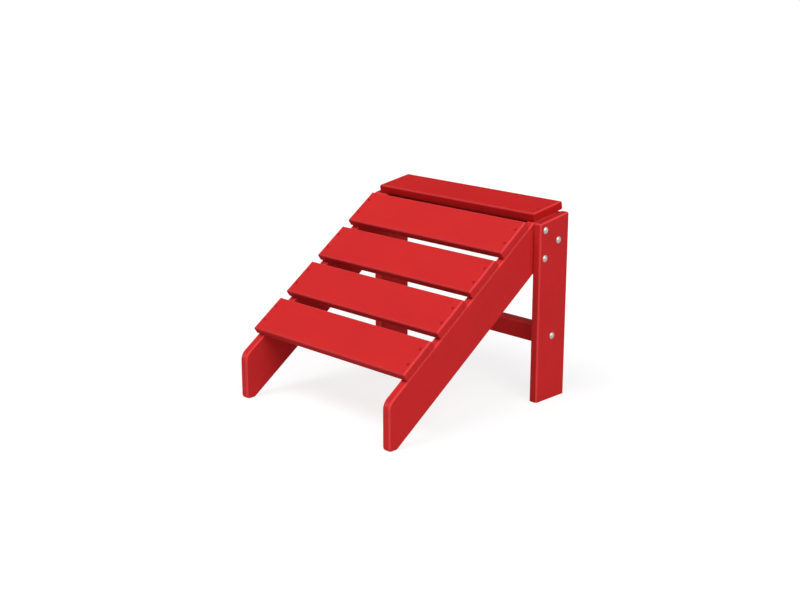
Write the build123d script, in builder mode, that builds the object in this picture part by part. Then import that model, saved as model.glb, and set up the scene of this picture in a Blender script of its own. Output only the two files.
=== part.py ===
"""Adirondack footrest (ottoman) of recycled-plastic planks, bolted and screwed together.

Two sloping side rails carry four deck slats and a flatter top slat.  The rails' low
front ends are the front feet.  Two upright rear legs stand outside the rails' high ends,
each held by three carriage bolts.  An apron closes the rails' rear ends between the legs,
and a stretcher ties the legs together lower down.

Millimetres.  +X is the sitter's right, -Y the low front end, +Z up.  The origin is on the
floor under the middle of the footprint.
"""
import os
from math import cos, radians, tan

from build123d import *

# ---------------------------------------------------------------- driving dimensions

# Planks
board_thickness = 19.05        # 3/4 in planed plank
board_width = 88.9             # 3 1/2 in plank: rails, legs, slats and apron
edge_radius = 4.3              # routed round-over on the planks' edges

# Side rails and deck
frame_width = 431.8            # over the outer faces of the two rails
rail_slope = 34.8              # degrees above the floor
foot_length = 21.4             # level sawn foot at the low front end
nose_radius = 25.4             # rounded upper front corner of a rail
foot_corner_radius = 8.0       # the two corners of a rail's foot
bend_corner_radius = 5.5       # where a rail's edge bends under the top slat
first_slat_setback = 57.8      # along the slope, front end to the first slat
slat_count = 4
slat_gap = 19.05               # between neighbouring slats
last_gap = 15.5                # along the slope, last slat to the bend under the top slat
top_tilt = 8.5                 # degrees, top slat and the cuts that carry it
top_slat_setback = 2.2         # along that cut, bend to the top slat's front edge

# Rear stretcher
stretcher_depth = 29.4         # front to back
stretcher_height = 37.5
stretcher_setback = 44.45      # leg front to the stretcher's centre line, mid leg
stretcher_centre_height = 134.0

# Carriage bolts, 1/4 in
bolt_diameter = 6.35
bolt_head_diameter = 14.3
bolt_head_height = 3.5
bolt_head_rim = 0.6            # straight edge under the dome
neck_length = 3.6              # square neck under the head
neck_width = 6.6               # across the neck's flats
bolt_tail = 3.5                # thread standing out of its nut
bolt_chamfer = 0.8
front_bolt_setback = 15.3      # leg front to the two front bolts
top_bolt_drop = 14.3           # top front corner of the leg down to the first bolt
low_bolt_drop = 71.4           # the same corner down to the lowest rail bolt
rail_end_distance = 13.6       # rail's rear end to the bolt and the screw nearest it
rear_bolt_drop = 39.8          # top front corner of the leg down to the rear bolt

# Nuts, washers and barrel nuts
washer_diameter = 16.0
washer_thickness = 1.6
nut_width = 11.1               # across flats
nut_hex_height = 5.6
nut_collar_height = 1.9        # round collar of the locking insert
nut_collar_diameter = 9.6
barrel_diameter = 10.0
barrel_length = 20.0
barrel_inset = 38.1            # stretcher end to the barrel nut's axis

# Trim-head screws
screw_diameter = 3.6
screw_head_diameter = 6.2
screw_head_angle = 60.0        # degrees, full cone
screw_length = 41.0
screw_point = 4.0
screw_recess = 1.3             # head sunk below the slat's face
screw_edge_distance = 25.25    # slat edge to the nearer screw of a pair
apron_screw_rise = 10.0        # lower corner of the rail's end to the lower apron screw
apron_screw_spacing = 25.0
drive_width = 2.4              # across corners of the six-sided socket
drive_depth = 1.4

# Clearances, on the radius or on each side
bolt_clearance = 0.35          # bolt in its drilled hole
neck_clearance = 0.1           # square neck in its socket
thread_clearance = 0.05        # plain cylinder that stands for a thread, in its hole
head_clearance = 0.15          # screw head in its countersink
drill_run_out = 2.0            # drilled past the end of a bolt or screw

# ---------------------------------------------------------------- derived places

rail_plumb_width = board_width / cos(radians(rail_slope))
rail_front_height = rail_plumb_width - foot_length * tan(radians(rail_slope))
slope_run = first_slat_setback + slat_count * board_width + (slat_count - 1) * slat_gap + last_gap
bend_run = slope_run * cos(radians(rail_slope))     # rail front end to the leg's front, level
depth = bend_run + board_width
front_y = -depth / 2
leg_front_y = front_y + bend_run
rear_y = depth / 2
bend_height = rail_front_height + bend_run * tan(radians(rail_slope))
leg_rear_height = bend_height + board_width * tan(radians(top_tilt))
rail_rear_y = rear_y - board_thickness              # the apron stands between here and rear_y
rail_rear_height = bend_height + (rail_rear_y - leg_front_y) * tan(radians(top_tilt))
rail_rear_low = rail_front_height + (rail_rear_y - front_y) * tan(radians(rail_slope)) - rail_plumb_width
rail_outer_x = frame_width / 2
rail_inner_x = rail_outer_x - board_thickness
leg_outer_x = rail_outer_x + board_thickness

slope = Plane(origin=(0, front_y, rail_front_height), x_dir=(1, 0, 0),
              z_dir=Vector(0, 0, 1).rotate(Axis.X, rail_slope))
top_cut = Plane(origin=(0, leg_front_y, bend_height), x_dir=(1, 0, 0),
                z_dir=Vector(0, 0, 1).rotate(Axis.X, top_tilt))

# Rail bolts and stretcher bolt, as (Y, Z)
rail_bolts = {
    "upper": (leg_front_y + front_bolt_setback, bend_height - top_bolt_drop),
    "rear": (rail_rear_y - rail_end_distance, bend_height - rear_bolt_drop),
    "lower": (leg_front_y + front_bolt_setback, bend_height - low_bolt_drop),
}
stretcher_bolt = (leg_front_y + stretcher_setback, stretcher_centre_height)

bolt_hole_radius = bolt_diameter / 2 + bolt_clearance
thread_hole_radius = bolt_diameter / 2 + thread_clearance
nut_height = nut_hex_height + nut_collar_height
dome_rise = bolt_head_height - bolt_head_rim
dome_radius = (dome_rise ** 2 + (bolt_head_diameter / 2) ** 2) / (2 * dome_rise)
rail_bolt_length = 2 * board_thickness + washer_thickness + nut_height + bolt_tail
stretcher_bolt_length = board_thickness + barrel_inset + barrel_diameter / 2 + bolt_tail

screw_span = frame_width - board_thickness         # the screws enter the middle of each rail
screw_grip = board_thickness - screw_recess        # head top to the plank's underside
pair_offset = board_width / 2 - screw_edge_distance
top_slat_middle = top_slat_setback + board_width / 2
top_cut_length = (rail_rear_y - leg_front_y) / cos(radians(top_tilt))
apron_middle = rail_rear_height - board_width / 2

# Each plank that is screwed across both rails: the plane of the face that meets the rails,
# centred on the plank, and the local Y of its two screw rows
cross_planks = {
    f"slat_{number + 1}": (
        slope.shift_origin(slope.from_local_coords(
            (0, first_slat_setback + board_width / 2 + number * (board_width + slat_gap), 0)
        )),
        (-pair_offset, pair_offset),
    )
    for number in range(slat_count)
}
cross_planks["top_slat"] = (
    top_cut.shift_origin(top_cut.from_local_coords((0, top_slat_middle, 0))),
    (-pair_offset, top_cut_length - rail_end_distance - top_slat_middle),
)
cross_planks["rear_apron"] = (
    Plane(origin=(0, rail_rear_y, apron_middle), x_dir=(1, 0, 0), z_dir=(0, 1, 0)),
    tuple(
        apron_middle - rail_rear_low - apron_screw_rise - row * apron_screw_spacing
        for row in (0, 1)
    ),
)

SIDES = {"left": -1, "right": 1}


# ---------------------------------------------------------------- parts

def export(builder, label):
    builder.part.label = label
    export_step(builder.part, f"parts/{label}.step")


def side_rail(side):
    """A plank sawn plumb in front, level at the foot and tilted under the top slat."""
    nose = (front_y, rail_front_height)
    foot = [(front_y, 0), (front_y + foot_length, 0)]
    bend = (leg_front_y, bend_height)
    with BuildPart() as rail:
        with BuildSketch(Plane.YZ.offset(side * rail_inner_x)) as profile:
            with BuildLine():
                Polyline(
                    foot[0],
                    nose,
                    bend,
                    (rail_rear_y, rail_rear_height),
                    (rail_rear_y, rail_rear_low),
                    foot[1],
                    close=True,
                )
            make_face()
            for corner, radius in ((nose, nose_radius), (bend, bend_corner_radius),
                                   (foot[0], foot_corner_radius), (foot[1], foot_corner_radius)):
                fillet(profile.vertices().sort_by_distance(corner)[0], radius)
        extrude(amount=side * board_thickness)
        fillet(rail.faces().filter_by(Axis.X).edges(), edge_radius)
        with BuildSketch(Plane.YZ.offset(side * rail_inner_x)):
            with Locations(*rail_bolts.values()):
                Circle(bolt_hole_radius)
        extrude(amount=side * board_thickness, mode=Mode.SUBTRACT)
        for seat, rows in cross_planks.values():
            with BuildSketch(seat):
                with Locations(*((side * screw_span / 2, row) for row in rows)):
                    Circle(screw_diameter / 2 + thread_clearance)
            extrude(amount=-(screw_length - screw_grip + drill_run_out), mode=Mode.SUBTRACT)
    return rail


def rear_leg(side):
    """An upright plank outside the rail, its top sawn in line with the rail's."""
    with BuildPart() as leg:
        with BuildSketch(Plane.YZ.offset(side * rail_outer_x)):
            with BuildLine():
                Polyline(
                    (leg_front_y, 0),
                    (leg_front_y, bend_height),
                    (rear_y, leg_rear_height),
                    (rear_y, 0),
                    close=True,
                )
            make_face()
        extrude(amount=side * board_thickness)
        sawn_foot = leg.faces().sort_by(Axis.Z)[0]
        fillet(leg.edges() - sawn_foot.edges(), edge_radius)
        with BuildSketch(Plane.YZ.offset(side * rail_outer_x)):
            with Locations(*rail_bolts.values(), stretcher_bolt):
                Circle(bolt_hole_radius)
        extrude(amount=side * board_thickness, mode=Mode.SUBTRACT)
        with BuildSketch(Plane.YZ.offset(side * leg_outer_x)):
            with Locations(*rail_bolts.values(), stretcher_bolt):
                Rectangle(neck_width + 2 * neck_clearance, neck_width + 2 * neck_clearance)
        extrude(amount=-side * (neck_length + neck_clearance), mode=Mode.SUBTRACT)
    return leg


def screw_places(rows):
    """The four screws of a cross plank, two at each end, in the plank's own plane."""
    return [(side * screw_span / 2, row) for side in SIDES.values() for row in rows]


def cross_plank(seat, rows):
    """A plank across both rails, with two countersunk screw holes at each end."""
    with BuildPart() as plank:
        with BuildSketch(seat):
            Rectangle(frame_width, board_width)
        extrude(amount=board_thickness)
        fillet(plank.faces().filter_by(seat).edges(), edge_radius)
        with Locations(seat.offset(screw_grip)):
            with Locations(*screw_places(rows)):
                CounterSinkHole(
                    radius=screw_diameter / 2 + thread_clearance,
                    counter_sink_radius=screw_head_diameter / 2 + head_clearance,
                    counter_sink_angle=screw_head_angle,
                )
    return plank


def plank_screws(seat, rows):
    """The four trim-head screws that hold one cross plank to the rails."""
    head_plane = seat.offset(screw_grip)
    head_taper = (screw_head_diameter - screw_diameter) / 2 / tan(radians(screw_head_angle / 2))
    shank_length = screw_length - head_taper - screw_point
    hang = (Align.CENTER, Align.CENTER, Align.MAX)
    places = screw_places(rows)
    with BuildPart() as screws:
        with Locations(head_plane):
            with Locations(*places):
                Cone(screw_diameter / 2, screw_head_diameter / 2, head_taper, align=hang)
        with Locations(head_plane.offset(-head_taper)):
            with Locations(*places):
                Cylinder(screw_diameter / 2, shank_length, align=hang)
        with Locations(head_plane.offset(-head_taper - shank_length)):
            with Locations(*places):
                Cone(0, screw_diameter / 2, screw_point, align=hang)
        with BuildSketch(head_plane):
            with Locations(*places):
                RegularPolygon(drive_width / 2, 6)
        extrude(amount=-drive_depth, mode=Mode.SUBTRACT)
    return screws


def rear_stretcher():
    """A bar between the legs, bored for a bolt and a barrel nut at each end."""
    with BuildPart() as stretcher:
        with BuildSketch(Plane.YZ.offset(-rail_outer_x)):
            with Locations(stretcher_bolt):
                RectangleRounded(stretcher_depth, stretcher_height, edge_radius)
        extrude(amount=frame_width)
        bolt_reach = stretcher_bolt_length - board_thickness + drill_run_out
        for side in SIDES.values():
            with BuildSketch(Plane.YZ.offset(side * rail_outer_x)):
                with Locations(stretcher_bolt):
                    Circle(bolt_hole_radius)
            extrude(amount=-side * bolt_reach, mode=Mode.SUBTRACT)
        with BuildSketch(Plane.XY.offset(stretcher_centre_height - stretcher_height / 2)):
            with Locations((0, stretcher_bolt[0])):
                with GridLocations(frame_width - 2 * barrel_inset, 0, 2, 1):
                    Circle(barrel_diameter / 2 + thread_clearance)
        extrude(amount=(stretcher_height + barrel_length) / 2, mode=Mode.SUBTRACT)
    return stretcher


def carriage_bolt(side, place, length):
    """Domed head on the leg's outer face, square neck, plain shank for the thread."""
    head = Plane(origin=(side * leg_outer_x, *place), x_dir=(0, 1, 0), z_dir=(side, 0, 0))
    with BuildPart() as bolt:
        with BuildSketch(Plane(origin=head.origin, x_dir=head.x_dir, z_dir=-head.y_dir)):
            with BuildLine():
                rim = Polyline(
                    (0, -length),
                    (bolt_diameter / 2 - bolt_chamfer, -length),
                    (bolt_diameter / 2, bolt_chamfer - length),
                    (bolt_diameter / 2, 0),
                    (bolt_head_diameter / 2, 0),
                    (bolt_head_diameter / 2, bolt_head_rim),
                )
                dome = RadiusArc(rim @ 1, (0, bolt_head_height), -dome_radius)
                Line(dome @ 1, rim @ 0)
            make_face()
        revolve(axis=Axis(head.origin, head.z_dir))
        with BuildSketch(head):
            Rectangle(neck_width, neck_width)
        extrude(amount=-neck_length)
    return bolt


def washers(side):
    """One flat washer per rail bolt, on the rail's inner face."""
    with BuildPart() as group:
        with BuildSketch(Plane.YZ.offset(side * rail_inner_x)):
            with Locations(*rail_bolts.values()):
                Circle(washer_diameter / 2)
                Circle(bolt_hole_radius, mode=Mode.SUBTRACT)
        extrude(amount=-side * washer_thickness)
    return group


def lock_nuts(side):
    """One locking nut per rail bolt: a hexagon with a round collar."""
    nut_seat = side * (rail_inner_x - washer_thickness)
    with BuildPart() as group:
        with BuildSketch(Plane.YZ.offset(nut_seat)):
            with Locations(*rail_bolts.values()):
                RegularPolygon(nut_width / 2, 6, major_radius=False)
        extrude(amount=-side * nut_hex_height)
        with BuildSketch(Plane.YZ.offset(nut_seat - side * nut_hex_height)):
            with Locations(*rail_bolts.values()):
                Circle(nut_collar_diameter / 2)
        extrude(amount=-side * nut_collar_height)
        with BuildSketch(Plane.YZ.offset(nut_seat)):
            with Locations(*rail_bolts.values()):
                Circle(thread_hole_radius)
        extrude(amount=-side * nut_height, mode=Mode.SUBTRACT)
    return group


def barrel_nut(side):
    """A cross dowel in the stretcher, tapped for the stretcher bolt."""
    centre = (side * (rail_outer_x - barrel_inset), *stretcher_bolt)
    with BuildPart() as barrel:
        with BuildSketch(Plane(origin=centre).offset(-barrel_length / 2)):
            Circle(barrel_diameter / 2)
        extrude(amount=barrel_length)
        with BuildSketch(Plane(origin=centre, z_dir=(1, 0, 0)).offset(-barrel_diameter / 2)):
            Circle(thread_hole_radius)
        extrude(amount=barrel_diameter, mode=Mode.SUBTRACT)
    return barrel


# ---------------------------------------------------------------- build and write

os.makedirs("parts", exist_ok=True)

for name, (seat, rows) in cross_planks.items():
    export(cross_plank(seat, rows), name)
    export(plank_screws(seat, rows), f"{name}_screws")

export(rear_stretcher(), "rear_stretcher")

for side_name, side in SIDES.items():
    export(side_rail(side), f"{side_name}_side_rail")
    export(rear_leg(side), f"{side_name}_rear_leg")
    for bolt_name, place in rail_bolts.items():
        export(carriage_bolt(side, place, rail_bolt_length), f"{side_name}_{bolt_name}_rail_bolt")
    export(carriage_bolt(side, stretcher_bolt, stretcher_bolt_length), f"{side_name}_stretcher_bolt")
    export(washers(side), f"{side_name}_washers")
    export(lock_nuts(side), f"{side_name}_lock_nuts")
    export(barrel_nut(side), f"{side_name}_barrel_nut")
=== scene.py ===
"""Looks for the Adirondack footrest: red plastic planks, red trim screws and stainless bolts.

Metres, in the same frame as the solids: +Y to the rear legs, +Z up.
"""
from math import asin, cos, pi, radians, sin

import bpy
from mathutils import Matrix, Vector


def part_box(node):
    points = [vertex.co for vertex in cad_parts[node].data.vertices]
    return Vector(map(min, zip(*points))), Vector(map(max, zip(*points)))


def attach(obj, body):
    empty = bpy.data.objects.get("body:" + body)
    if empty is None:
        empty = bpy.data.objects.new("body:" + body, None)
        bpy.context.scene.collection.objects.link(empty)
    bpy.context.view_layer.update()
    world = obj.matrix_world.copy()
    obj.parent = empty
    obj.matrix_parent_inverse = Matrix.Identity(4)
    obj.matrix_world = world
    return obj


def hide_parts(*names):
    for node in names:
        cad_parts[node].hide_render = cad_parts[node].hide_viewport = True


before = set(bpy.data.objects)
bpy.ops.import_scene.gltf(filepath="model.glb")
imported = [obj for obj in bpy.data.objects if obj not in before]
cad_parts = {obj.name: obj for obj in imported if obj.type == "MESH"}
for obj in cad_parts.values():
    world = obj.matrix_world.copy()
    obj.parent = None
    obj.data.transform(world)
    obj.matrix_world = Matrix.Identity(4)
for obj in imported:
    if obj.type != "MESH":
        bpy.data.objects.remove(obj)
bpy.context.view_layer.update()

# ---------------------------------------------------------------- sizes and angles

RAIL_SLOPE = radians(34.8)      # the side rails and the deck slats above the floor
TOP_TILT = radians(8.5)         # the top slat

# Bolts, 1/4 in with 20 threads to the inch
BOLT_RADIUS = 0.003175
SHANK_RADIUS = 0.00277          # plain shank, as drawn before its thread is rolled
THREAD_PITCH = 0.00127
THREAD_DEPTH = 0.00078
THREAD_LENGTH = 0.020
THREAD_CREST = (0.44, 0.56)     # the flat crest within one pitch
SPARE_TURNS = 2                 # wound past each end of the thread, then cut off
TAIL_CHAMFER = 0.0008
HEAD_HEIGHT = 0.0035
HEAD_RIM = 0.0006               # height of the rim under the dome
RIM_ROUND = 0.0003
NECK_WIDTH = 0.0066
NECK_LENGTH = 0.0036

# Lock nuts, washers and barrel nuts
HEX_SIDES = 6
NUT_FLATS = 0.0111
HEX_HEIGHT = 0.0056
HEX_CHAMFER = 0.0009
COLLAR_RADIUS = 0.0048
COLLAR_HEIGHT = 0.0019
INSERT_RADIUS = 0.0041
INSERT_SINK = 0.0004            # nylon ring below the collar's lip
EDGE_EASE = 0.00025             # eased edges of washers, collars and rings
BORE_RADIUS = 0.00322
NUT_TURNS = (radians(12), radians(41), radians(27))     # how far each nut happened to turn
WASHER_HOLE = 0.0035
BARREL_EASE = 0.0006
SLOT_WIDTH = 0.0016
SLOT_DEPTH = 0.0018

TURN_STEPS = 48                 # facets round a turned piece
DOME_STEPS = 10
CREASE = radians(32)            # corners sharper than this stay crisp
HAIR = 1e-6                     # closer points than this are one point
SEED_SIZE = 0.001               # of the plane that a drawn line starts from
LENGTH_DIGITS = 6               # bolts whose lengths agree to these decimals are one kind

SIDES = {"left": -1, "right": 1}
RAIL_BOLTS = ("upper_rail", "rear_rail", "lower_rail")
BOLTS = (*RAIL_BOLTS, "stretcher")

# Turns that bring a plank's length to X, for its streaks
ALONG_X = (0, 0, 0)
ACROSS_SLOPE = (-RAIL_SLOPE, 0, 0)
ACROSS_TOP = (-TOP_TILT, 0, 0)
ALONG_SLOPE = (-RAIL_SLOPE, 0, radians(-90))
ALONG_Z = (0, radians(90), 0)

# ---------------------------------------------------------------- colours and finishes

RED = (0.60, 0.025, 0.026)              # pigment right through the planks
TOP_SLAT_SHADE_RED = (0.505, 0.011, 0.011)    # painted shade: the top slat is a deeper red for the lesser light on its near-level top
EDGE_HIGHLIGHT_RED = (0.72, 0.053, 0.056)       # painted highlight on the round-overs
# painted highlight on the top slat's round-overs, dimmer than on the others'
TOP_SLAT_EDGE_HIGHLIGHT_RED = (0.66, 0.048, 0.051)
SAWN_RED = (0.65, 0.031, 0.033)         # saw cuts on the rails' ends
LEG_END_SHADE_RED = (0.42, 0.015, 0.016)      # painted shade on the legs' level ends, for the top slat's shadow on the leg tops
LONG_EDGE_HIGHLIGHT_SHARE = 0.86                  # a slat's long round-overs get this share of the painted highlight on its ends
PLANK_SPREAD = 0.012                    # how far a plank's tone is from the others'
PLANK_STEP = 2.4                        # takes each plank to another tone in that spread
GRAIN_SHIFT = (0.37, 0.21, 0)           # and to another stretch of streaks
STREAK_SPREAD = (0.92, 1.08)            # how far the tone wanders within a plank
STREAK_ENDS = (0.25, 0.75)              # the shares of noise that give its darkest and palest
STREAK_SCALE = 420
STREAK_LENGTH = 0.03                    # scale along the plank, as a share of across it
STREAK_DETAIL = 3
CLOUD_SCALE = 9
CLOUD_DETAIL = 2
SKIN_SCALE = 1300
SKIN_DETAIL = 2
GRAIN_ROUGHNESS = 0.6                   # of the noise of streaks and skin
GRAIN_DEPTH = 0.0002
GRAIN_STRENGTH = 0.5
PLASTIC_ROUGHNESS = (0.58, 0.70)
PLASTIC_SHEEN = 0.02
FACE_COSINE = 0.99                      # a flat face is this near to square
ROUND_COSINE = 0.88                     # and a full round-over is at least this far off
END_SINE = 0.3                          # a round-over that leans this far sideways is an end's

STEEL = (0.42, 0.385, 0.37)
STEEL_SPREAD = (0.90, 1.05)
STEEL_ROUGHNESS = (0.22, 0.38)
SCRATCH_SCALE = 2600
SCRATCH_DETAIL = 3
SCRATCH_STRENGTH = 0.15
FINE_DEPTH = 0.00005                    # of scratches, worn enamel and nylon

ENAMEL = (0.41, 0.014, 0.0155)
ENAMEL_SPREAD = (0.88, 1.12)
ENAMEL_ROUGHNESS = (0.28, 0.45)
ENAMEL_SHEEN = 0.1
WEAR_SCALE = 900
WEAR_DETAIL = 2
WEAR_STRENGTH = 0.1

NYLON = (0.62, 0.62, 0.58)
NYLON_SPREAD = (0.90, 1.0)
NYLON_ROUGHNESS = 0.45
MOTTLE_SCALE = 1500
MOTTLE_DETAIL = 2
MOTTLE_STRENGTH = 0.2

# ---------------------------------------------------------------- floor, lamps and camera

WHITE = (1, 1, 1, 1)
FLOOR_SIZE = 80
FLOOR_BOUNCE = 0.55             # what the floor gives back to the planks
FLOOR_SEEN = 0.25               # the share of its look that takes a shadow
FLOOR_GLOW = 0.80               # and the share that doesn't
SUNS = {
    # name: (azimuth from the front towards +X, elevation, spread, strength)
    "left": (-30, 60, 35, 1.05),
    "front": (0, 60, 35, 1.18),
    "quarter": (65, 45, 35, 1.00),
    "right": (90, 15, 70, 1.38),
    "rear": (222, 14, 40, 0.70),
}
CAMERA_PLACE = (1.87539, -1.88059, 0.94476)
CAMERA_DROP = radians(15.627)   # below the level
CAMERA_TURN = radians(44.920)   # from the front towards +X
LENS = 61.16
SENSOR = 36
FARTHEST = 200


# ---------------------------------------------------------------- node helpers

# The colour sockets of a Mix node, whose names stand for its other kinds of socket as well
MIX_FIRST, MIX_SECOND, MIX_RESULT = 6, 7, 2


def add_node(tree, kind, **settings):
    """A shader node, with its properties and its inputs' values set by name."""
    node = tree.nodes.new(kind)
    for key, value in settings.items():
        if hasattr(node, key):
            setattr(node, key, value)
        else:
            node.inputs[key.replace("_", " ").title()].default_value = value
    return node


def new_material(name):
    """A plain material, its node tree and its shader."""
    material = bpy.data.materials.new(name)
    material.use_nodes = True
    return material, material.node_tree, material.node_tree.nodes["Principled BSDF"]


def own(tree, kind):
    """The object's own coordinates ("Object") or the way its surface faces ("Normal")."""
    return tree.nodes.new("ShaderNodeTexCoord").outputs[kind]


def noise(tree, place, scale, detail, roughness=0.5):
    """Noise between 0 and 1 over a place."""
    pattern = add_node(tree, "ShaderNodeTexNoise", scale=scale, detail=detail, roughness=roughness)
    tree.links.new(place, pattern.inputs["Vector"])
    return pattern.outputs["Fac"]


def tones(tree, share, colour, spread, ends=(0, 1)):
    """A colour from its darkest tone to its lightest one, as the share goes up."""
    ramp = tree.nodes.new("ShaderNodeValToRGB")
    for element, position, strength in zip(ramp.color_ramp.elements, ends, spread):
        element.position = position
        element.color = (*(channel * strength for channel in colour), 1)
    tree.links.new(share, ramp.inputs["Fac"])
    return ramp.outputs["Color"]


def between(tree, share, low, high):
    """A number from low to high as the share goes from 0 to 1."""
    spread = add_node(tree, "ShaderNodeMapRange", to_min=low, to_max=high)
    tree.links.new(share, spread.inputs["Value"])
    return spread.outputs["Result"]


def share_of(tree, number, none, full):
    """0 where a number is at none, 1 where it is at full, and a share of 1 between them."""
    spread = add_node(tree, "ShaderNodeMapRange", from_min=none, from_max=full)
    tree.links.new(number, spread.inputs["Value"])
    return spread.outputs["Result"]


def bumps(tree, height, strength, depth, under=None):
    """A bumpy surface, over another one where that is given."""
    bump = add_node(tree, "ShaderNodeBump", strength=strength, distance=depth)
    tree.links.new(height, bump.inputs["Height"])
    if under:
        tree.links.new(under, bump.inputs["Normal"])
    return bump.outputs["Normal"]


def worked_out(tree, operation, *numbers):
    """What an operation makes of one or two numbers."""
    work = add_node(tree, "ShaderNodeMath", operation=operation)
    for number, socket in zip(numbers, work.inputs):
        tree.links.new(number, socket)
    return work.outputs[0]


def between_faces(tree, turn):
    """0 on faces square to the turned axes, and 1 on round-overs and cuts at other angles."""
    square = add_node(tree, "ShaderNodeMapping", vector_type="NORMAL", rotation=turn)
    tree.links.new(own(tree, "Normal"), square.inputs["Vector"])
    flat = add_node(tree, "ShaderNodeVectorMath", operation="ABSOLUTE")
    tree.links.new(square.outputs[0], flat.inputs[0])
    axes = tree.nodes.new("ShaderNodeSeparateXYZ")
    tree.links.new(flat.outputs[0], axes.inputs[0])
    level = worked_out(tree, "MAXIMUM", axes.outputs["X"], axes.outputs["Y"])
    nearest = worked_out(tree, "MAXIMUM", level, axes.outputs["Z"])
    return share_of(tree, nearest, FACE_COSINE, ROUND_COSINE)


def facing(tree, axis):
    """How squarely a surface faces along an axis, either way: from 0 to 1."""
    axes = tree.nodes.new("ShaderNodeSeparateXYZ")
    tree.links.new(own(tree, "Normal"), axes.inputs[0])
    return worked_out(tree, "ABSOLUTE", axes.outputs[axis])


def saw_cuts(tree, oblique):
    """1 on the plumb and level cuts of a sloping plank, and 0 on its faces and round-overs."""
    plumb_or_level = between(tree, between_faces(tree, ALONG_X), 1, 0)
    return worked_out(tree, "MULTIPLY", oblique, plumb_or_level)


def long_edges(tree, oblique):
    """1 on the long round-overs of a plank that lies along X, and 0 on its faces and ends."""
    return worked_out(tree, "MULTIPLY", oblique, share_of(tree, facing(tree, "X"), END_SINE, 0))


def level_ends(tree):
    """1 on faces that are level or nearly so, such as an upright plank's sawn ends."""
    return share_of(tree, facing(tree, "Z"), ROUND_COSINE, FACE_COSINE)


def mixed(tree, share, first, second):
    """The first colour where the share is 0 and the second, a fixed one, where it is 1."""
    colour = add_node(tree, "ShaderNodeMix", data_type="RGBA")
    tree.links.new(share, colour.inputs["Factor"])
    tree.links.new(first, colour.inputs[MIX_FIRST])
    colour.inputs[MIX_SECOND].default_value = (*second, 1)
    return colour.outputs[MIX_RESULT]


# ---------------------------------------------------------------- materials

def red_plastic(name, pigment, edge_highlight, turn, offset):
    """Extruded plank: fine streaks along its length, faint clouds, a matt pebbled skin, painted
    highlights on its round-overs, and painted shade on an upright leg's level ends.
    """
    material, tree, shader = new_material(name)
    link = tree.links.new
    along = add_node(tree, "ShaderNodeMapping", rotation=turn)
    along.inputs["Location"].default_value = offset
    link(own(tree, "Object"), along.inputs["Vector"])
    drawn = add_node(tree, "ShaderNodeMapping", scale=(STREAK_LENGTH, 1, 1))
    link(along.outputs[0], drawn.inputs["Vector"])
    streaks = noise(tree, drawn.outputs[0], STREAK_SCALE, STREAK_DETAIL, GRAIN_ROUGHNESS)
    clouds = noise(tree, along.outputs[0], CLOUD_SCALE, CLOUD_DETAIL)
    skin = noise(tree, along.outputs[0], SKIN_SCALE, SKIN_DETAIL, GRAIN_ROUGHNESS)

    blend = add_node(tree, "ShaderNodeMix", data_type="FLOAT")
    link(clouds, blend.inputs["A"])
    link(streaks, blend.inputs["B"])
    colour = tones(tree, blend.outputs["Result"], pigment, STREAK_SPREAD, STREAK_ENDS)
    oblique = between_faces(tree, turn)
    # painted highlight on every round-over
    colour = mixed(tree, oblique, colour, edge_highlight)
    # a weaker painted highlight on a slat's long round-overs
    if turn in (ACROSS_SLOPE, ACROSS_TOP):
        edge = [channel * LONG_EDGE_HIGHLIGHT_SHARE for channel in edge_highlight]
        colour = mixed(tree, long_edges(tree, oblique), colour, edge)
    if turn == ALONG_SLOPE:
        colour = mixed(tree, saw_cuts(tree, oblique), colour, SAWN_RED)
    # painted shade on an upright leg's level ends
    if turn == ALONG_Z:
        colour = mixed(tree, level_ends(tree), colour, LEG_END_SHADE_RED)
    link(colour, shader.inputs["Base Color"])
    link(between(tree, streaks, *PLASTIC_ROUGHNESS), shader.inputs["Roughness"])
    pebbled = bumps(tree, skin, GRAIN_STRENGTH, GRAIN_DEPTH)
    link(bumps(tree, streaks, GRAIN_STRENGTH, GRAIN_DEPTH, pebbled), shader.inputs["Normal"])
    shader.inputs["Specular IOR Level"].default_value = PLASTIC_SHEEN
    return material


def stainless(name):
    """Satin stainless steel with fine scratches."""
    material, tree, shader = new_material(name)
    link = tree.links.new
    scratches = noise(tree, own(tree, "Object"), SCRATCH_SCALE, SCRATCH_DETAIL)
    link(tones(tree, scratches, STEEL, STEEL_SPREAD), shader.inputs["Base Color"])
    link(between(tree, scratches, *STEEL_ROUGHNESS), shader.inputs["Roughness"])
    link(bumps(tree, scratches, SCRATCH_STRENGTH, FINE_DEPTH), shader.inputs["Normal"])
    shader.inputs["Metallic"].default_value = 1.0
    return material


def painted_screw(name):
    """Red enamel over steel, unevenly worn."""
    material, tree, shader = new_material(name)
    link = tree.links.new
    wear = noise(tree, own(tree, "Object"), WEAR_SCALE, WEAR_DETAIL)
    link(tones(tree, wear, ENAMEL, ENAMEL_SPREAD), shader.inputs["Base Color"])
    link(between(tree, wear, *ENAMEL_ROUGHNESS), shader.inputs["Roughness"])
    link(bumps(tree, wear, WEAR_STRENGTH, FINE_DEPTH), shader.inputs["Normal"])
    shader.inputs["Specular IOR Level"].default_value = ENAMEL_SHEEN
    return material


def nylon(name):
    """Natural nylon, slightly mottled."""
    material, tree, shader = new_material(name)
    link = tree.links.new
    mottle = noise(tree, own(tree, "Object"), MOTTLE_SCALE, MOTTLE_DETAIL)
    link(tones(tree, mottle, NYLON, NYLON_SPREAD), shader.inputs["Base Color"])
    link(bumps(tree, mottle, MOTTLE_STRENGTH, FINE_DEPTH), shader.inputs["Normal"])
    shader.inputs["Roughness"].default_value = NYLON_ROUGHNESS
    return material


# ---------------------------------------------------------------- turning and cutting

def only(shape):
    """Makes this the one selected object."""
    bpy.ops.object.select_all(action="DESELECT")
    shape.select_set(True)
    bpy.context.view_layer.objects.active = shape


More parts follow.
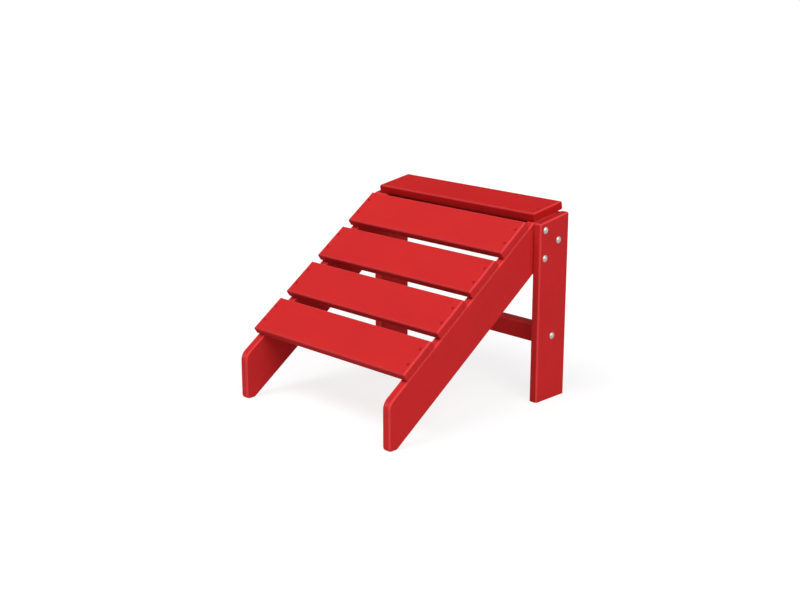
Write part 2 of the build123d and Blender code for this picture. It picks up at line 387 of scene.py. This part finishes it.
def drawn_line(name, points):
    """A bent line in the XZ plane, drawn point by point from a plane closed up to a point."""
    (x, z), *rest = points
    bpy.ops.object.select_all(action="DESELECT")
    bpy.ops.mesh.primitive_plane_add(size=SEED_SIZE, location=(x, 0, z))
    bpy.ops.object.transform_apply()
    shape = bpy.context.object
    shape.name = name
    bpy.ops.object.mode_set(mode="EDIT")
    bpy.ops.mesh.merge(type="CENTER")
    for next_x, next_z in rest:
        bpy.ops.mesh.extrude_region_move(
            TRANSFORM_OT_translate={"value": (next_x - x, 0, next_z - z)})
        x, z = next_x, next_z
    bpy.ops.object.mode_set(mode="OBJECT")
    return shape


def tidy_mesh():
    """Joins doubled points, drops slivers and turns all faces outwards, in edit mode."""
    bpy.ops.mesh.select_all(action="SELECT")
    bpy.ops.mesh.remove_doubles(threshold=HAIR)
    bpy.ops.mesh.dissolve_degenerate(threshold=HAIR)
    bpy.ops.mesh.select_all(action="SELECT")
    bpy.ops.mesh.normals_make_consistent(inside=False)


def turned(name, outline):
    """A solid turned about the Z axis from an outline of (radius, height) points."""
    shape = drawn_line(name, outline)
    bpy.ops.object.mode_set(mode="EDIT")
    bpy.ops.mesh.select_all(action="SELECT")
    bpy.ops.mesh.spin(steps=TURN_STEPS, angle=2 * pi, center=(0, 0, 0), axis=(0, 0, 1))
    tidy_mesh()
    bpy.ops.object.mode_set(mode="OBJECT")
    return shape


def block(size, centre):
    """A rectangular block, to join on or to cut with."""
    bpy.ops.object.select_all(action="DESELECT")
    bpy.ops.mesh.primitive_cube_add(size=1, location=centre)
    bpy.context.object.scale = size
    bpy.ops.object.transform_apply()
    return bpy.context.object


def combine(shape, tool, operation):
    """Joins, trims or cuts a shape with another, which is used up."""
    only(shape)
    joint = shape.modifiers.new("joint", "BOOLEAN")
    joint.operation = operation
    joint.object = tool
    joint.solver = "EXACT"
    bpy.ops.object.modifier_apply(modifier="joint")
    bpy.data.objects.remove(tool)
    bpy.ops.object.mode_set(mode="EDIT")
    bpy.ops.mesh.select_all(action="SELECT")
    bpy.ops.mesh.remove_doubles(threshold=2 * HAIR)
    bpy.ops.mesh.dissolve_degenerate(threshold=2 * HAIR)
    bpy.ops.object.mode_set(mode="OBJECT")


def soften(shape):
    """Triangles without slivers, shaded as smooth curves between crisp corners."""
    only(shape)
    bpy.ops.object.mode_set(mode="EDIT")
    bpy.ops.mesh.select_all(action="SELECT")
    bpy.ops.mesh.quads_convert_to_tris()
    bpy.ops.mesh.dissolve_degenerate(threshold=2 * HAIR)
    bpy.ops.object.mode_set(mode="OBJECT")
    bpy.ops.object.shade_smooth_by_angle(angle=CREASE)


def copy_of(shape, name):
    """A copy with a mesh of its own."""
    only(shape)
    bpy.ops.object.duplicate(linked=False)
    bpy.context.object.name = name
    return bpy.context.object


def put(shape, place, points_to, spin=0):
    """Spins a shape about its Z axis, points that to the right (1) or left (-1), and sets it down."""
    only(shape)
    shape.rotation_euler = (0, 0, spin)
    bpy.ops.object.transform_apply()
    shape.rotation_euler = (0, points_to * pi / 2, 0)
    shape.location = place
    bpy.ops.object.transform_apply()


def joined(name, shapes):
    """One piece from several, which are used up."""
    bpy.ops.object.select_all(action="DESELECT")
    for shape in shapes:
        shape.select_set(True)
    bpy.context.view_layer.objects.active = shapes[0]
    bpy.ops.object.join()
    shapes[0].name = name
    return shapes[0]


def fit_out(piece, node_name):
    """The piece stands for its solid and rides with the frame."""
    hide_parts(node_name)
    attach(piece, "root")


# ---------------------------------------------------------------- fasteners

def rolled_thread(low, high):
    """A threaded rod up the Z axis, chamfered at its lower end."""
    root = BOLT_RADIUS - THREAD_DEPTH
    foot = low - SPARE_TURNS * THREAD_PITCH
    ridge = [(root, foot)]
    ridge += [(BOLT_RADIUS, foot + share * THREAD_PITCH) for share in THREAD_CREST]
    ridge += [(root, foot + THREAD_PITCH)]
    rod = drawn_line("thread", ridge)
    winding = rod.modifiers.new("winding", "SCREW")
    winding.screw_offset = THREAD_PITCH
    winding.iterations = round((high - low) / THREAD_PITCH) + 2 * SPARE_TURNS
    winding.steps = TURN_STEPS
    winding.render_steps = TURN_STEPS
    winding.use_merge_vertices = True
    winding.merge_threshold = HAIR
    bpy.ops.object.modifier_apply(modifier="winding")
    bpy.ops.object.mode_set(mode="EDIT")
    tidy_mesh()
    for end, clear_below in ((low, True), (high, False)):
        bpy.ops.mesh.select_all(action="SELECT")
        bpy.ops.mesh.bisect(plane_co=(0, 0, end), plane_no=(0, 0, 1), threshold=HAIR / 10,
                            use_fill=True, clear_inner=clear_below, clear_outer=not clear_below)
    tidy_mesh()
    bpy.ops.object.mode_set(mode="OBJECT")
    clear = BOLT_RADIUS + TAIL_CHAMFER
    combine(rod, turned("envelope", [
        (0, low - TAIL_CHAMFER),
        (BOLT_RADIUS - 2 * TAIL_CHAMFER, low - TAIL_CHAMFER),
        (clear, low + 2 * TAIL_CHAMFER),
        (clear, high - TAIL_CHAMFER),
        (root, high + TAIL_CHAMFER),
        (0, high + TAIL_CHAMFER),
    ]), "INTERSECT")
    return rod


def carriage_bolt(name, length, head_radius):
    """Domed head above Z = 0, square neck and plain shank below it, thread at the tail."""
    dome_rise = HEAD_HEIGHT - HEAD_RIM
    dome_radius = (dome_rise**2 + head_radius**2) / (2 * dome_rise)
    dome_centre = HEAD_HEIGHT - dome_radius
    dome_edge = asin(head_radius / dome_radius)
    tail = THREAD_LENGTH - length
    core = BOLT_RADIUS - THREAD_DEPTH - HEAD_RIM
    outline = [
        (0, TAIL_CHAMFER - length),
        (core, TAIL_CHAMFER - length),
        (core, tail - TAIL_CHAMFER),
        (SHANK_RADIUS, tail - TAIL_CHAMFER / 2),
        (SHANK_RADIUS, 0),
        (head_radius - RIM_ROUND, 0),
        (head_radius, RIM_ROUND),
    ]
    for step in range(DOME_STEPS, 0, -1):
        around = dome_edge * step / DOME_STEPS
        outline.append((dome_radius * sin(around), dome_centre + dome_radius * cos(around)))
    outline.append((0, HEAD_HEIGHT))
    bolt = turned(name, outline)
    neck_top = RIM_ROUND
    neck_size = (NECK_WIDTH, NECK_WIDTH, NECK_LENGTH + neck_top)
    combine(bolt, block(neck_size, (0, 0, (neck_top - NECK_LENGTH) / 2)), "UNION")
    combine(bolt, rolled_thread(-length, tail), "UNION")
    soften(bolt)
    bolt.data.materials.append(steel)
    return bolt


def lock_nut():
    """Chamfered hexagon with a round collar that grips a nylon ring, seat at Z = 0."""
    hex_radius = NUT_FLATS / 2 / cos(pi / HEX_SIDES)
    height = HEX_HEIGHT + COLLAR_HEIGHT
    bpy.ops.object.select_all(action="DESELECT")
    bpy.ops.mesh.primitive_cylinder_add(vertices=HEX_SIDES, radius=hex_radius, depth=HEX_HEIGHT,
                                        location=(0, 0, HEX_HEIGHT / 2))
    bpy.ops.object.transform_apply()
    nut = bpy.context.object
    nut.name = "lock_nut"
    face_radius = hex_radius - HEX_CHAMFER
    combine(nut, turned("chamfers", [
        (0, -HAIR),
        (face_radius, -HAIR),
        (hex_radius + HEX_CHAMFER, HEX_CHAMFER),
        (hex_radius + HEX_CHAMFER, HEX_HEIGHT - HEX_CHAMFER),
        (face_radius, HEX_HEIGHT + HAIR),
        (0, HEX_HEIGHT + HAIR),
    ]), "INTERSECT")
    combine(nut, turned("collar", [
        (0, HEX_HEIGHT / 2),
        (COLLAR_RADIUS, HEX_HEIGHT / 2),
        (COLLAR_RADIUS, height - 3 * EDGE_EASE),
        (COLLAR_RADIUS - EDGE_EASE, height - EDGE_EASE),
        (COLLAR_RADIUS - 2 * EDGE_EASE, height),
        (INSERT_RADIUS, height),
        (INSERT_RADIUS, height - INSERT_SINK),
        (0, height - INSERT_SINK),
    ]), "UNION")
    combine(nut, turned("bore", [
        (0, -HEX_CHAMFER),
        (BORE_RADIUS + HEX_CHAMFER, -HEX_CHAMFER),
        (BORE_RADIUS, HEX_CHAMFER / 2),
        (BORE_RADIUS, HEX_HEIGHT),
        (INSERT_RADIUS - HAIR, HEX_HEIGHT),
        (INSERT_RADIUS - HAIR, height),
        (0, height),
    ]), "DIFFERENCE")
    soften(nut)
    nut.data.materials.append(steel)
    ring_top = height - INSERT_SINK
    ring = turned("nylon_ring", [
        (BORE_RADIUS, HEX_HEIGHT + HAIR),
        (INSERT_RADIUS - 2 * HAIR, HEX_HEIGHT + HAIR),
        (INSERT_RADIUS - 2 * HAIR, ring_top),
        (BORE_RADIUS + EDGE_EASE, ring_top),
        (BORE_RADIUS, ring_top - EDGE_EASE),
        (BORE_RADIUS, HEX_HEIGHT + HAIR),
    ])
    soften(ring)
    ring.data.materials.append(insert_nylon)
    return joined("lock_nut", [nut, ring])


def flat_washer(radius, thickness):
    """A stamped washer with eased edges, resting on Z = 0."""
    washer = turned("washer", [
        (WASHER_HOLE, EDGE_EASE),
        (WASHER_HOLE + EDGE_EASE, 0),
        (radius - EDGE_EASE, 0),
        (radius, EDGE_EASE),
        (radius, thickness - EDGE_EASE),
        (radius - EDGE_EASE, thickness),
        (WASHER_HOLE + EDGE_EASE, thickness),
        (WASHER_HOLE, thickness - EDGE_EASE),
        (WASHER_HOLE, EDGE_EASE),
    ])
    soften(washer)
    washer.data.materials.append(steel)
    return washer


def barrel_nut(name, radius, length):
    """A cross dowel about the origin, bored along X, with a screwdriver slot underneath."""
    barrel = turned(name, [
        (0, -length / 2),
        (radius - BARREL_EASE, -length / 2),
        (radius, BARREL_EASE - length / 2),
        (radius, length / 2 - BARREL_EASE),
        (radius - BARREL_EASE, length / 2),
        (0, length / 2),
    ])
    right_through = 3 * radius
    bpy.ops.object.select_all(action="DESELECT")
    bpy.ops.mesh.primitive_cylinder_add(vertices=TURN_STEPS, radius=BORE_RADIUS,
                                        depth=right_through)
    bore = bpy.context.object
    bore.rotation_euler = (0, pi / 2, 0)
    bpy.ops.object.transform_apply()
    combine(barrel, bore, "DIFFERENCE")
    slot_size = (right_through, SLOT_WIDTH, 2 * SLOT_DEPTH)
    combine(barrel, block(slot_size, (0, 0, -length / 2)), "DIFFERENCE")
    soften(barrel)
    barrel.data.materials.append(steel)
    return barrel


def fit_bolts():
    """A detailed carriage bolt for each plain one, modelled once for each length."""
    patterns = {}
    for side_name, side in SIDES.items():
        for bolt_name in BOLTS:
            node_name = f"{side_name}_{bolt_name}_bolt"
            low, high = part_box(node_name)
            length = round(high.x - low.x - HEAD_HEIGHT, LENGTH_DIGITS)
            if length not in patterns:
                head_radius = (high.y - low.y) / 2
                patterns[length] = carriage_bolt("pattern_bolt", length, head_radius)
            bolt = copy_of(patterns[length], f"{node_name}_steel")
            under_head = side * (max(abs(low.x), abs(high.x)) - HEAD_HEIGHT)
            put(bolt, (under_head, (low.y + high.y) / 2, (low.z + high.z) / 2), side)
            fit_out(bolt, node_name)
    for pattern in patterns.values():
        bpy.data.objects.remove(pattern)


def fit_nuts_and_washers():
    """A washer and a lock nut on the tail of each rail bolt, and the barrel nuts."""
    nut = lock_nut()
    washer_low, washer_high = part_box("right_washers")
    thickness = washer_high.x - washer_low.x
    first_low, first_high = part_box("right_upper_rail_bolt")
    radius = washer_high.z - (first_low.z + first_high.z) / 2
    washer = flat_washer(radius, thickness)
    for side_name, side in SIDES.items():
        nuts, washers = [], []
        for bolt_name, turn in zip(RAIL_BOLTS, NUT_TURNS):
            low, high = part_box(f"{side_name}_{bolt_name}_bolt")
            y, z = (low.y + high.y) / 2, (low.z + high.z) / 2
            rail_face = side * washer_high.x
            nuts.append(copy_of(nut, f"{side_name}_{bolt_name}_nut"))
            put(nuts[-1], (rail_face - side * thickness, y, z), -side, turn)
            washers.append(copy_of(washer, f"{side_name}_{bolt_name}_washer"))
            put(washers[-1], (rail_face, y, z), -side)
        fit_out(joined(f"{side_name}_lock_nuts_steel", nuts), f"{side_name}_lock_nuts")
        fit_out(joined(f"{side_name}_washers_steel", washers), f"{side_name}_washers")
        low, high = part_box(f"{side_name}_barrel_nut")
        barrel = barrel_nut(f"{side_name}_barrel_nut_steel", (high.x - low.x) / 2, high.z - low.z)
        barrel.location = (low + high) / 2
        only(barrel)
        bpy.ops.object.transform_apply()
        fit_out(barrel, f"{side_name}_barrel_nut")
    bpy.data.objects.remove(nut)
    bpy.data.objects.remove(washer)


# ---------------------------------------------------------------- dressing the planks and screws

def dress(node_name, material):
    """Gives a CAD node one material in all its slots."""
    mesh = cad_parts[node_name].data
    mesh.materials.clear()
    mesh.materials.append(material)


def plank_turn(node_name):
    """The turn that brings this plank's length to X."""
    if node_name.endswith("_side_rail"):
        return ALONG_SLOPE
    if node_name.endswith("_rear_leg"):
        return ALONG_Z
    if node_name.startswith("slat_"):
        return ACROSS_SLOPE
    if node_name == "top_slat":
        return ACROSS_TOP
    return ALONG_X


def dress_planks_and_screws():
    """Each plank gets its own stretch of streaks and a slightly different tone."""
    screw_enamel = painted_screw("red screw enamel")
    for number, node_name in enumerate(sorted(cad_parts)):
        if node_name.endswith("_screws"):
            dress(node_name, screw_enamel)
        elif node_name.endswith(("_bolt", "_washers", "_nuts", "_nut")):
            dress(node_name, steel)
        else:
            turn = plank_turn(node_name)
            tone = 1 + PLANK_SPREAD * sin(PLANK_STEP * number)
            # the top slat's deeper red is painted shade, and its round-overs get a dimmer painted
            # highlight
            pigment = [channel * tone for channel in (TOP_SLAT_SHADE_RED if turn == ACROSS_TOP else RED)]
            edge_highlight = TOP_SLAT_EDGE_HIGHLIGHT_RED if turn == ACROSS_TOP else EDGE_HIGHLIGHT_RED
            offset = [shift * number for shift in GRAIN_SHIFT]
            name = f"red plastic {node_name}"
            dress(node_name, red_plastic(name, pigment, edge_highlight, turn, offset))


# ---------------------------------------------------------------- studio

def seen_directly(tree):
    """1 for what the camera, a mirror or clear glass sees, 0 for light that bounces."""
    path = tree.nodes.new("ShaderNodeLightPath").outputs
    opaque = worked_out(tree, "MAXIMUM", path["Is Camera Ray"], path["Is Glossy Ray"])
    return worked_out(tree, "MAXIMUM", opaque, path["Is Transmission Ray"])


def when_seen(tree, bounced, seen):
    """A number that is one value for bounced light and another where it is seen directly."""
    return between(tree, seen_directly(tree), bounced, seen)


def white_floor():
    """A wide white floor that shows the shadow of the footrest as a pale grey."""
    bpy.ops.object.select_all(action="DESELECT")
    bpy.ops.mesh.primitive_plane_add(size=FLOOR_SIZE, location=(0, 0, 0))
    floor = bpy.context.object
    floor.name = "floor"
    material, tree, shader = new_material("white floor")
    tree.links.new(when_seen(tree, FLOOR_BOUNCE, FLOOR_SEEN), shader.inputs["Base Color"])
    tree.links.new(when_seen(tree, 0, FLOOR_GLOW), shader.inputs["Emission Strength"])
    shader.inputs["Emission Color"].default_value = WHITE
    shader.inputs["Roughness"].default_value = 1.0
    shader.inputs["Specular IOR Level"].default_value = 0.0
    floor.data.materials.append(material)


def lamps():
    """Broad soft suns, most of them from the front and above."""
    for name, (azimuth, elevation, spread, strength) in SUNS.items():
        lamp = bpy.data.lights.new(name, "SUN")
        lamp.angle = radians(spread)
        lamp.energy = strength
        holder = bpy.data.objects.new(name, lamp)
        bpy.context.scene.collection.objects.link(holder)
        round_from_front, up = radians(azimuth), radians(elevation)
        towards = Vector((sin(round_from_front) * cos(up), -cos(round_from_front) * cos(up), sin(up)))
        holder.rotation_euler = towards.to_track_quat("Z", "Y").to_euler()
        holder.visible_glossy = name != "rear"      # it would skim the top slat with glare


def white_surroundings():
    """Surroundings that are white wherever they are seen, and light nothing."""
    room = bpy.data.worlds.new("white surroundings")
    bpy.context.scene.world = room
    room.use_nodes = True
    tree = room.node_tree
    background = tree.nodes["Background"]
    background.inputs["Color"].default_value = WHITE
    tree.links.new(seen_directly(tree), background.inputs["Strength"])


def camera():
    """From the front right, a little above."""
    eye = bpy.data.cameras.new("camera")
    eye.sensor_width = SENSOR
    eye.lens = LENS
    eye.clip_end = FARTHEST
    holder = bpy.data.objects.new("camera", eye)
    bpy.context.scene.collection.objects.link(holder)
    holder.location = CAMERA_PLACE
    holder.rotation_euler = (radians(90) - CAMERA_DROP, 0, CAMERA_TURN)
    bpy.context.scene.camera = holder


# ---------------------------------------------------------------- the footrest and its studio

steel = stainless("stainless steel")
insert_nylon = nylon("nylon insert")
dress_planks_and_screws()
fit_bolts()
fit_nuts_and_washers()

white_floor()
lamps()
white_surroundings()
camera()
bpy.context.scene.view_settings.view_transform = "Standard"
